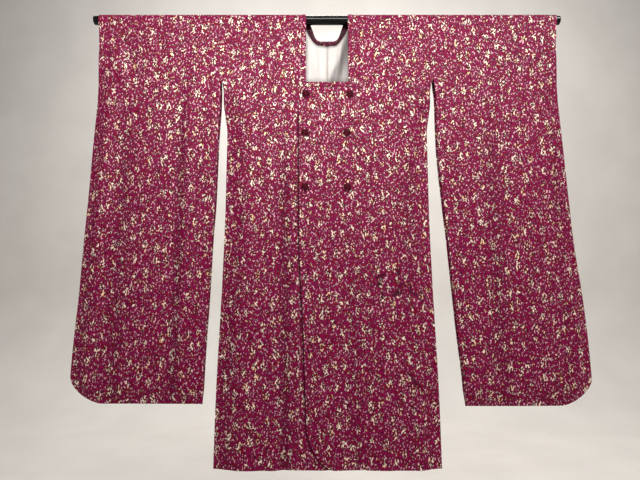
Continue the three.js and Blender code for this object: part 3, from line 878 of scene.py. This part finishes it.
def sleeve(name, hand, material, shift):
    """A flat bag folded over the rod. Rows run from the armhole edge to the cuff edge; below the cuff and
    along the foot the two faces meet, each closing over the last few centimetres by a soft step and the
    wall's thickness by a quarter circle."""
    key = "left" if hand > 0 else "right"
    edges, foot = SLEEVE_EDGES[key], SLEEVE_FOOT[key]
    top = foot - SLEEVE_CORNER["height"]
    upper = stations(0, CUFF_DROP, CUFF_SPACING)
    lower = stations(CUFF_DROP, top, ROW_SPACING)[1:]
    turns = np.linspace(0, 1, CORNER_STEPS["sleeve"] + 1)[1:]
    turn = np.concatenate([np.zeros(len(rod_drops) + len(upper) + len(lower)), turns])
    level = np.concatenate([rod_drops, upper, lower, np.full(len(turns), float(foot))])
    ring_turn = np.concatenate([turn[::-1], turn[1:]])[:, None]
    ring_level = np.concatenate([level[::-1], level[1:]])[:, None]
    side = np.concatenate([np.full(len(turn), -1), np.full(len(turn) - 1, 1)])[:, None]
    share = towards_edges(*COLUMNS["sleeve"])[None, :]
    sewn_row = ring_level >= CUFF_DROP - SAME_DROP
    across_used, down_used = corner_used(ring_turn)

    def face(outside):
        inset = 0 if outside else CLOTH_WALL
        drop = np.where(ring_turn > 0, top + (SLEEVE_CORNER["height"] - inset) * down_used, ring_level)
        inner_x = along(edges, "inner", drop)
        end = along(edges, "outer", drop) - np.where(sewn_row, inset, 0)
        end = end - (SLEEVE_CORNER["width"] - inset) * across_used
        x = inner_x + (end - inner_x) * share
        sewn = smooth((drop - CUFF_DROP + CUFF_BLEND) / CUFF_BLEND)
        to_end = end - x
        side_share = 1 + (smooth(to_end / SLEEVE_CLOSING) - 1) * sewn
        foot_share = smooth((foot - inset - drop) / SLEEVE_CLOSING)
        free = smooth((x - inner_x) / SLEEVE_FREE["across"] + (drop - ARMHOLE_DROP) / SLEEVE_FREE["down"])
        lift = fold_lift(SLEEVE_FOLDS[key], x, drop) * np.where(side < 0, 1, -SLEEVE_FOLD_BACK)
        lift = lift + crease_lift(SLEEVE_CREASES, x, drop) + ripple(hand * x, drop, RIPPLE["sleeve"] + hand)
        near = np.minimum(side_share, foot_share)
        room = (along(SLEEVE_ROOM, "room", drop) + lift * free) * near
        out = CLOTH_WALL if outside else 0
        to_sewn = np.minimum(np.where(sewn_row, to_end, np.inf), foot - inset - drop)
        depth = room + out * edge_round(to_sewn)
        depth = np.where((sewn_row & (share == 1)) | (ring_turn == 1), 0, depth)
        below = sway(hand * x, np.maximum(drop, 0)) + side * depth
        angle = math.pi / 2 + drop / FOLD_RADIUS
        y = np.where(drop < 0, side * (FOLD_RADIUS + out) * np.sin(angle), below)
        z = np.where(drop < 0, (FOLD_RADIUS + out) * np.cos(angle), -drop)
        points = np.stack(np.broadcast_arrays(hand * x, y, z), axis=-1)
        # Painted shade in the sleeve's deepest creases and fold hollows.
        shade = np.maximum(crease_shade(SLEEVE_CREASES, x, drop), fold_shade(SLEEVE_FOLDS[key], x, drop))
        return points, flat_cut(hand * x, drop, side, shift), shade

    outer, uv, shade = face(True)
    cuff_rows = np.flatnonzero(ring_level[:, 0] <= CUFF_DROP + SAME_DROP)
    return wall(
        name, outer, face(False)[0], uv, shade, material, rims=lambda k: [k[::-1, 0], k[cuff_rows, -1]]
    )


def cord_tube(path, radius, around=10):
    """A round cord along a closed path: at each point a circle across the path, in the plane of the
    path's side direction and its lift."""
    run = np.roll(path, -1, axis=0) - np.roll(path, 1, axis=0)
    run /= np.linalg.norm(run, axis=1)[:, None]
    across = np.cross(run, [0, 1, 0])
    across /= np.linalg.norm(across, axis=1)[:, None]
    up = np.cross(across, run)
    angle = np.arange(around) * 2 * math.pi / around
    ring = across[:, None] * np.cos(angle)[None, :, None] + up[:, None] * np.sin(angle)[None, :, None]
    points = path[:, None] + radius * ring
    quads = tube_quads(len(path) + 1, around) % (len(path) * around)
    length = np.concatenate([[0], np.cumsum(np.linalg.norm(np.diff(path, axis=0), axis=1))])
    uv = np.stack(np.broadcast_arrays(length[:, None], angle[None, :] * radius), axis=-1)
    return points.reshape(-1, 3), quads, uv.reshape(-1, 2)


def crowned_disc(radius, height, power, around=30, rings=10, twist=0.0, ribs=0, rib_depth=0.0):
    """A button shape: a flat back and a crown whose height falls from the middle to the rim as one less
    a power of the reach. Ribs turn round it as a slow spiral."""
    reach = np.sin(np.linspace(0, math.pi / 2, rings + 1))[:, None]
    angle = (np.arange(around) * 2 * math.pi / around)[None, :]
    wave = 1 + rib_depth * np.cos(ribs * (angle + twist * reach)) * reach
    crown = height * (1 - reach**power) * wave
    x, z = radius * reach * np.sin(angle), radius * reach * np.cos(angle)
    top = np.stack(np.broadcast_arrays(x, -DISC_RIM - crown, z), axis=-1)
    back = np.stack(np.broadcast_arrays(x[::-1], np.zeros_like(crown), z[::-1]), axis=-1)
    points = np.concatenate([top, back])
    quads = tube_quads(len(points), around)
    points = points.reshape(-1, 3)
    return points, quads, points[:, [0, 2]]


def knot(spec, material):
    """A flower knot of round cord on a small crowned backing. The cord's line is the sum of two circles,
    one turning once and one four times the other way, which draws five petals that cross near the middle.
    It is up on the way out of each petal and down on the way in, so that it passes over and under. A
    ribbed button closes the middle."""
    turn = np.linspace(0, 2 * math.pi, KNOT_STEPS, endpoint=False)
    other = (1 - KNOT_PETALS) * turn
    x = KNOT_CIRCLES[0] * np.cos(turn) + KNOT_CIRCLES[1] * np.cos(other)
    z = KNOT_CIRCLES[0] * np.sin(turn) + KNOT_CIRCLES[1] * np.sin(other)
    y = -KNOT_CORD - KNOT_RISE - KNOT_RISE * np.sin(KNOT_PETALS * turn)
    button = crowned_disc(**BUTTON)
    parts = [
        cord_tube(np.stack([x, y, z], axis=-1), KNOT_CORD),
        crowned_disc(**BACKING),
        (button[0] + [0, BUTTON_PLACE, 0], button[1], button[2]),
    ]
    tilt = math.radians(spec["turn"])
    spin = np.array([[math.cos(tilt), 0, math.sin(tilt)], [0, 1, 0], [-math.sin(tilt), 0, math.cos(tilt)]])
    seat = body_point(spec["x"], spec["drop"], -1, CLOTH_WALL + KNOT_SEAT, 1)
    points, quads, uv, start = [], [], [], 0
    for part_points, part_quads, part_uv in parts:
        points.append(part_points @ spin.T + seat)
        quads.append(part_quads + start)
        uv.append(part_uv)
        start += len(part_points)
    name = "cord_" + spec["name"]
    return finish_mesh(name, np.concatenate(points), np.concatenate(quads), np.concatenate(uv), material)


def turned_rod(name, material):
    """A bar turned about X: its profile is a quarter circle at each end and straight between them."""
    bend = np.linspace(0, math.pi / 2, ROD_STEPS["edge"])
    end_x = ROD_HALF - ROD_EDGE * (1 - np.cos(bend))
    end_r = ROD_RADIUS - ROD_EDGE * (1 - np.sin(bend))
    middle = np.linspace(-end_x[-1], end_x[-1], ROD_STEPS["length"])[1:-1]
    x = np.concatenate([[-ROD_HALF], -end_x, middle, end_x[::-1], [ROD_HALF]])[:, None]
    r = np.concatenate([[0], end_r, np.full(len(middle), float(ROD_RADIUS)), end_r[::-1], [0]])[:, None]
    angle = np.arange(ROD_SIDES) * 2 * math.pi / ROD_SIDES
    grid = np.stack(np.broadcast_arrays(x, r * np.sin(angle), r * np.cos(angle)), axis=-1)
    uv = np.stack(np.broadcast_arrays(x, angle * ROD_RADIUS), axis=-1)
    quads = tube_quads(len(x), ROD_SIDES)
    return finish_mesh(name, grid.reshape(-1, 3), quads, uv.reshape(-1, 2), material)


def tint(name):
    """A colour of the table as the linear light that shaders use."""
    share = np.array(COLOURS[name]) / 255
    linear = np.where(share <= 0.04045, share / 12.92, ((share + 0.055) / 1.055) ** 2.4)
    return (*linear.tolist(), 1.0)


class Nodes:
    """Short ways to add shader nodes to one tree. A value is a number, a tuple or another node's output."""

    def __init__(self, tree):
        self.tree = tree

    def feed(self, socket, value):
        if isinstance(value, bpy.types.NodeSocket):
            self.tree.links.new(value, socket)
        else:
            socket.default_value = value

    def add(self, kind, inputs=None, **settings):
        node = self.tree.nodes.new("ShaderNode" + kind)
        for key, value in settings.items():
            setattr(node, key, value)
        for socket, value in (inputs or {}).items():
            self.feed(node.inputs[socket], value)
        return node

    def math(self, operation, *values):
        node = self.add("Math", operation=operation)
        for socket, value in zip(node.inputs, values):
            self.feed(socket, value)
        return node.outputs[0]

    def step(self, value, low, high, start=0.0, end=1.0):
        """Soft step from start to end as the value goes from low to high."""
        inputs = {"Value": value, "From Min": low, "From Max": high, "To Min": start, "To Max": end}
        return self.add("MapRange", inputs, interpolation_type="SMOOTHSTEP").outputs[0]

    def mix(self, factor, first, second):
        node = self.add("Mix", data_type="RGBA")
        self.feed(node.inputs[0], factor)
        self.feed(node.inputs[6], first)
        self.feed(node.inputs[7], second)
        return node.outputs[2]

    def noise(self, vector, size_mm, detail=1.0, rough=0.5):
        inputs = {"Vector": vector, "Scale": 1 / (size_mm * MM), "Detail": detail, "Roughness": rough}
        return self.add("TexNoise", inputs).outputs["Fac"]

    def cut(self):
        """The piece's own flat coordinates."""
        return self.add("UVMap", uv_map="cut").outputs[0]

    def cells(self, vector, size_mm, uneven):
        """Flat cells of about one size: the distance from the nearest middle, in cells, and a chance."""
        inputs = {"Vector": vector, "Scale": 1 / (size_mm * MM), "Randomness": uneven}
        made = self.add("TexVoronoi", inputs, voronoi_dimensions="2D").outputs
        return made["Distance"], self.add("SeparateColor", {"Color": made["Color"]}).outputs["Red"]

    def stretched(self, vector, scale, turn=0.0, shift=(0, 0, 0)):
        """The flat coordinates scaled, turned by degrees and moved."""
        turned = (0, 0, math.radians(turn))
        inputs = {"Vector": vector, "Scale": scale, "Rotation": turned, "Location": shift}
        return self.add("Mapping", inputs).outputs[0]


def node_group(name, inputs, outputs):
    """A new shader group: inputs are names with their kind and first value, outputs names with a kind."""
    group = bpy.data.node_groups.new(name, "ShaderNodeTree")
    for socket, (kind, value) in inputs.items():
        made = group.interface.new_socket(socket, in_out="INPUT", socket_type="NodeSocket" + kind)
        if value is not None:
            made.default_value = value
    for socket, kind in outputs.items():
        group.interface.new_socket(socket, in_out="OUTPUT", socket_type="NodeSocket" + kind)
    n = Nodes(group)
    return n, group.nodes.new("NodeGroupInput").outputs, group.nodes.new("NodeGroupOutput").inputs


def use_group(n, name, **inputs):
    """Places a group in a material, with its own values."""
    node = n.tree.nodes.new("ShaderNodeGroup")
    node.node_tree = bpy.data.node_groups[name]
    for socket, value in inputs.items():
        n.feed(node.inputs[socket.replace("_", " ")], value)
    return node.outputs


def make_weave_group():
    """Plain weave: the product of a wave along the cloth and one across it, broken by a fine grain."""
    n, given, result = node_group(
        "silk weave",
        {"Vector": ("Vector", None), "Thread": ("Float", 0.45), "Crepe": ("Float", 0.5)},
        {"Height": "Float"},
    )
    parts = n.add("SeparateXYZ", {"Vector": given["Vector"]}).outputs
    turns = n.math("DIVIDE", 2 * math.pi / MM, given["Thread"])
    weft = n.math("SINE", n.math("MULTIPLY", parts["X"], turns))
    warp = n.math("SINE", n.math("MULTIPLY", parts["Y"], turns))
    woven = n.math("MULTIPLY_ADD", n.math("MULTIPLY", weft, warp), 0.5, 0.5)
    grain = n.noise(n.stretched(given["Vector"], (1, 0.45, 1)), 0.9, detail=2)
    height = n.add("Mix", {0: given["Crepe"], 2: woven, 3: grain}).outputs[0]
    n.feed(result["Height"], height)


def make_fleck_group():
    """Gold flecks: the islands where a fine noise rises past a level, so that they are of all sizes. Two
    such noises lie at different slants. Groups are the middles of cells, taller than wide, and there the
    level falls, so that the islands grow and join. Near is the silk just round a fleck. Crowd, high
    inside a group, also comes out, because the foil differs there."""
    n, given, result = node_group(
        "gold flecks",
        {"Vector": ("Vector", None), "Cover": ("Float", 0.5)},
        {"Mask": "Float", "Near": "Float", "Tone": "Float", "Crowd": "Float"},
    )
    inputs = {"Vector": given["Vector"], "Scale": 1 / (FLECK["stir"] * MM), "Detail": 1}
    stir = n.add("TexNoise", inputs, noise_dimensions="2D").outputs["Color"]
    stir = n.add("VectorMath", {0: stir, 1: (0.5, 0.5, 0.5)}, operation="SUBTRACT").outputs[0]
    reach = FLECK["stirred"] * FLECK["stir"] * MM
    stir = n.add("VectorMath", {0: stir, "Scale": reach}, operation="SCALE").outputs[0]
    stirred = n.add("VectorMath", {0: given["Vector"], 1: stir}, operation="ADD").outputs[0]
    tall = n.stretched(stirred, FLECK["tall"], turn=FLECK["turn"])
    distance, chance = n.cells(tall, FLECK["group"], FLECK["uneven"])
    crowd = n.step(n.math("DIVIDE", distance, n.step(chance, 0, 1, *FLECK["core"])), 1, FLECK["inner"])
    clump = n.math("SUBTRACT", n.noise(given["Vector"], FLECK["clump"], detail=1), 0.5)
    level = n.math("MULTIPLY_ADD", clump, -FLECK["loose"], n.math("SUBTRACT", 1.0, given["Cover"]))
    level = n.math("MULTIPLY_ADD", crowd, -FLECK["gather"], level)
    mask, near = 0.0, 0.0
    for turn, shift in FLECK["lies"]:
        lie = n.stretched(given["Vector"], FLECK["slim"], turn=turn, shift=shift)
        rise = n.math("SUBTRACT", n.noise(lie, FLECK["size"], detail=1.5, rough=0.55), level)
        mask = n.math("MAXIMUM", mask, n.step(rise, 0, FLECK["edge"]))
        near = n.math("MAXIMUM", near, n.step(rise, -FLECK["rim"], -0.25 * FLECK["rim"]))
    n.feed(result["Mask"], mask)
    n.feed(result["Near"], near)
    n.feed(result["Tone"], n.noise(given["Vector"], FLECK["tone"], detail=1))
    n.feed(result["Crowd"], crowd)


def principled(name, **constants):
    """A material with its Principled shader's plain values set, ready for the rest."""
    material = bpy.data.materials.new(name)
    material.use_nodes = True
    shader = material.node_tree.nodes["Principled BSDF"]
    for socket, value in constants.items():
        shader.inputs[socket.replace("_", " ")].default_value = value
    return material, Nodes(material.node_tree), shader.inputs


def bump(n, height, distance_mm, strength, normal=None):
    inputs = {"Height": height, "Distance": distance_mm * MM, "Strength": strength}
    if normal is not None:
        inputs["Normal"] = normal
    return n.add("Bump", inputs).outputs[0]


def silk_material():
    """Crimson and magenta silk with a gold print: two reds in soft patches, dark round the flecks, painted
    shade in creases, fold hollows and the neck that dims the foil too, and foil that is smoother, partly
    metal, a hair proud of the weave and worn outside groups."""
    material, n, shader = principled("flecked_silk", Sheen_Weight=0.03, Specular_IOR_Level=0.12)
    flat = n.cut()
    shader["Sheen Tint"].default_value = tint("sheen pink")
    # The shade attribute is painted shade.
    creased = n.add("Attribute", attribute_name="shade").outputs["Fac"]
    flecks = use_group(n, "gold flecks", Vector=flat, Cover=FLECK["cover"])
    lie = n.stretched(flat, SILK["patch_tall"], turn=SILK["patch_turn"])
    patches = n.noise(lie, SILK["patch"], detail=2, rough=0.6)
    patches = n.math("MULTIPLY_ADD", flecks["Crowd"], SILK["patch_in_group"], patches)
    ground = n.mix(n.step(patches, *SILK["patch_step"]), tint("crimson"), tint("magenta"))
    shade = n.step(n.noise(flat, SILK["mottle"], detail=2), *SILK["mottle_step"])
    shade = n.math("MAXIMUM", n.math("MULTIPLY", shade, SILK["mottled"]), flecks["Near"])
    ground = n.mix(shade, ground, tint("deep red"))
    # Painted shade darkens the silk here and the foil below, and hides flecks.
    ground = n.mix(creased, ground, tint("painted shade plum"))
    foil = n.mix(n.step(flecks["Crowd"], *SILK["cream_step"]), tint("pink gold"), tint("cream"))
    foil = n.mix(n.step(flecks["Tone"], *SILK["gold_step"]), foil, tint("gold"))
    foil = n.mix(n.math("MULTIPLY", creased, SILK["foil_in_painted_shade"]), foil, tint("painted shade plum"))
    shown = n.math("MULTIPLY", flecks["Mask"], n.step(creased, *SILK["painted_shade_step"]))
    worn = n.step(n.noise(flat, FLECK["worn"], detail=1), *SILK["worn_step"])
    worn = n.math("MAXIMUM", worn, n.step(flecks["Crowd"], *SILK["unworn_step"]))
    shown = n.math("MULTIPLY", shown, worn)
    n.feed(shader["Base Color"], n.mix(shown, ground, foil))
    n.feed(shader["Metallic"], n.math("MULTIPLY", shown, SILK["metal"]))
    n.feed(shader["Roughness"], n.math("MULTIPLY_ADD", shown, SILK["foil_rough"], SILK["rough"]))
    weave = use_group(n, "silk weave", Vector=flat, Thread=SILK["thread"], Crepe=SILK["crepe"])
    raised = bump(n, flecks["Mask"], *SILK["foil_bump"])
    n.feed(shader["Normal"], bump(n, weave["Height"], *SILK["weave_bump"], raised))
    return material


def lining_material():
    """Off-white satin with a fine weave and faint long streaks, greyed by painted shade where its shade
    attribute says so.
    """
    material, n, shader = principled("white_lining", Sheen_Weight=0.15, Sheen_Roughness=0.4)
    flat = n.cut()
    streak = n.noise(n.stretched(flat, SATIN["streak_long"]), SATIN["streak"], detail=2)
    # The shade attribute is painted shade and shadow on the lining.
    shade = n.add("Attribute", attribute_name="shade").outputs["Fac"]
    satin = n.mix(n.step(streak, *SATIN["streak_step"]), tint("satin white"), tint("satin shade"))
    n.feed(shader["Base Color"], n.mix(shade, satin, tint("satin painted shade")))
    n.feed(shader["Roughness"], n.step(streak, *SATIN["rough_step"]))
    weave = use_group(n, "silk weave", Vector=flat, Thread=SATIN["thread"], Crepe=SATIN["crepe"])
    n.feed(shader["Normal"], bump(n, weave["Height"], *SATIN["weave_bump"]))
    return material


def cord_material():
    """Dark wine cord, twisted: slanting ridges with painted shade between them, in lighter and nearly black
    patches.
    """
    material, n, shader = principled("wine_cord", Roughness=0.6, Specular_IOR_Level=0.15)
    flat = n.cut()
    parts = n.add("SeparateXYZ", {"Vector": flat}).outputs
    slant = n.math("MULTIPLY_ADD", parts["Y"], CORD["slant"], parts["X"])
    strand = n.math("SINE", n.math("MULTIPLY", slant, 2 * math.pi / (CORD["lay"] * MM)))
    strand = n.math("MULTIPLY_ADD", strand, 0.5, 0.5)
    # Painted shade between the strands.
    colour = n.mix(n.step(strand, *CORD["strand_step"]), tint("wine dark and groove shade"), tint("wine"))
    light = n.step(n.noise(flat, CORD["light"]), *CORD["light_step"])
    dark = n.step(n.noise(flat, CORD["dark"]), *CORD["dark_step"])
    n.feed(shader["Base Color"], n.mix(dark, n.mix(light, colour, tint("wine light")), tint("wine dark and groove shade")))
    n.feed(shader["Normal"], bump(n, strand, *CORD["bump"]))
    return material


def rod_material():
    """Black lacquered steel with faint cloudiness, and dust along the top."""
    gloss = {"Specular_IOR_Level": 0.22, "Coat_Weight": 0.12, "Coat_Roughness": 0.12}
    material, n, shader = principled("black_lacquer", **gloss)
    place = n.add("TexCoord").outputs["Object"]
    cloud = n.noise(n.stretched(place, LACQUER["cloud_long"]), LACQUER["cloud"], detail=4)
    n.feed(shader["Roughness"], n.step(cloud, *LACQUER["rough_step"]))
    height = n.add("SeparateXYZ", {"Vector": place}).outputs["Z"]
    top = n.step(height, LACQUER["dust_from"] * ROD_RADIUS * MM, ROD_RADIUS * MM)
    specks = n.step(n.noise(place, LACQUER["dust"], detail=5), *LACQUER["dust_step"])
    dust = n.math("MULTIPLY", n.math("MULTIPLY", top, specks), LACQUER["dusty"])
    n.feed(shader["Base Color"], n.mix(dust, tint("black"), tint("dust")))
    n.feed(shader["Normal"], bump(n, n.noise(place, LACQUER["uneven"], detail=3), *LACQUER["bump"]))
    return material


def backdrop_material():
    """Plain matt paper, very slightly uneven."""
    material, n, shader = principled("paper", Roughness=0.95)
    place = n.add("TexCoord").outputs["Object"]
    mottle = n.step(n.noise(place, PAPER["mottle"], detail=3), *PAPER["mottle_step"])
    n.feed(shader["Base Color"], n.mix(mottle, tint("paper"), tint("paper shade")))
    return material


def backdrop(material):
    """Floor and wall in one sheet: level, then a quarter circle, then upright."""
    bend = np.linspace(0, math.pi / 2, STAGE["steps"])
    curve = STAGE["wall"] - STAGE["bend"] * (1 - np.sin(bend))
    y = np.concatenate([[-STAGE["front"]], curve, [STAGE["wall"]]])
    z = np.concatenate([[0], STAGE["bend"] * (1 - np.cos(bend)), [STAGE["height"]]]) - STAGE["drop"]
    x = np.array([-STAGE["half"], STAGE["half"]])
    grid = np.stack(np.broadcast_arrays(x[None, :], y[:, None], z[:, None]), axis=-1)
    mesh = bpy.data.meshes.new("backdrop")
    mesh.from_pydata((grid.reshape(-1, 3) * MM).tolist(), [], grid_quads(len(y), 2).tolist())
    mesh.polygons.foreach_set("use_smooth", np.ones(len(mesh.polygons), bool))
    mesh.materials.append(material)
    obj = bpy.data.objects.new("backdrop", mesh)
    bpy.context.collection.objects.link(obj)


def soft_light(name, place, aim, size, power, colour, spread=180):
    """A large soft panel of light at a place, facing an aim, both in metres, spreading by degrees."""
    lamp = bpy.data.lights.new(name, "AREA")
    lamp.shape = "RECTANGLE"
    lamp.size, lamp.size_y = size
    lamp.energy = power
    lamp.color = colour
    lamp.spread = math.radians(spread)
    obj = bpy.data.objects.new(name, lamp)
    obj.location = place
    obj.rotation_euler = (Vector(aim) - Vector(place)).to_track_quat("-Z", "Y").to_euler()
    bpy.context.collection.objects.link(obj)


make_weave_group()
make_fleck_group()
silk, white, wine, black = silk_material(), lining_material(), cord_material(), rod_material()

# Each sheet's cut of what shows, in metres: width and length, and its area as cut.
pieces = table("node make hand cut area", [
    ("body_left", body_panel, 1, (0.308, 2.53), 0.63),
    ("body_right", body_panel, -1, (0.308, 2.53), 0.63),
    ("overlap_left", overlap_panel, 1, (0.154, 1.031), 0.149),
    ("overlap_right", overlap_panel, -1, (0.154, 1.031), 0.157),
    ("sleeve_left", sleeve, 1, (0.352, 2.21), 0.75),
    ("sleeve_right", sleeve, -1, (0.352, 2.2), 0.75),
    ("lining_back_left", back_lining, 1, (0.277, 1.2), 0.305),
    ("lining_back_right", back_lining, -1, (0.277, 1.2), 0.305),
])
for shift, item in enumerate(pieces):
    is_lining = item["make"] is back_lining
    made = item["make"]("cloth_" + item["node"], item["hand"], white if is_lining else silk, shift)
    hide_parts(item["node"])

band = collar_band("cloth_collar", silk, len(pieces))
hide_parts("collar")

for spec in KNOTS:
    made = knot(spec, wine)
    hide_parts(spec["name"])

bar = turned_rod("lacquered_rod", black)
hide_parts("rod")

# Studio: places, aims and sizes in metres, power in watts.
backdrop(backdrop_material())
WARM, PALE, COOL = (1.0, 0.97, 0.94), (1.0, 0.98, 0.96), (0.94, 0.96, 1.0)
soft_light("key", (2.7, -3.0, 2.4), (0, 0, -0.3), (0.9, 0.9), 108, WARM)
soft_light("ceiling", (-0.12, -1.7, 0.6), (0, 0, -0.12), (1.6, 0.5), 10.5, WARM, spread=84)
soft_light("fill", (-2.2, -1.8, -0.2), (0, 0, -0.5), (1.4, 1.4), 3, COOL)
soft_light("wall_wash", (0, 1.0, 2.0), (0, 2.8, -0.4), (3.6, 0.6), 62, PALE)
soft_light("back", (-0.5, 2.2, 2.0), (0, 0, -0.5), (2.0, 0.6), 46, PALE)

world = bpy.data.worlds.new("room")
world.use_nodes = True
glow = world.node_tree.nodes["Background"].inputs
glow["Color"].default_value = (0.9, 0.93, 1.0, 1.0)
glow["Strength"].default_value = 0.11
bpy.context.scene.world = world
bpy.context.scene.view_settings.view_transform = "Standard"
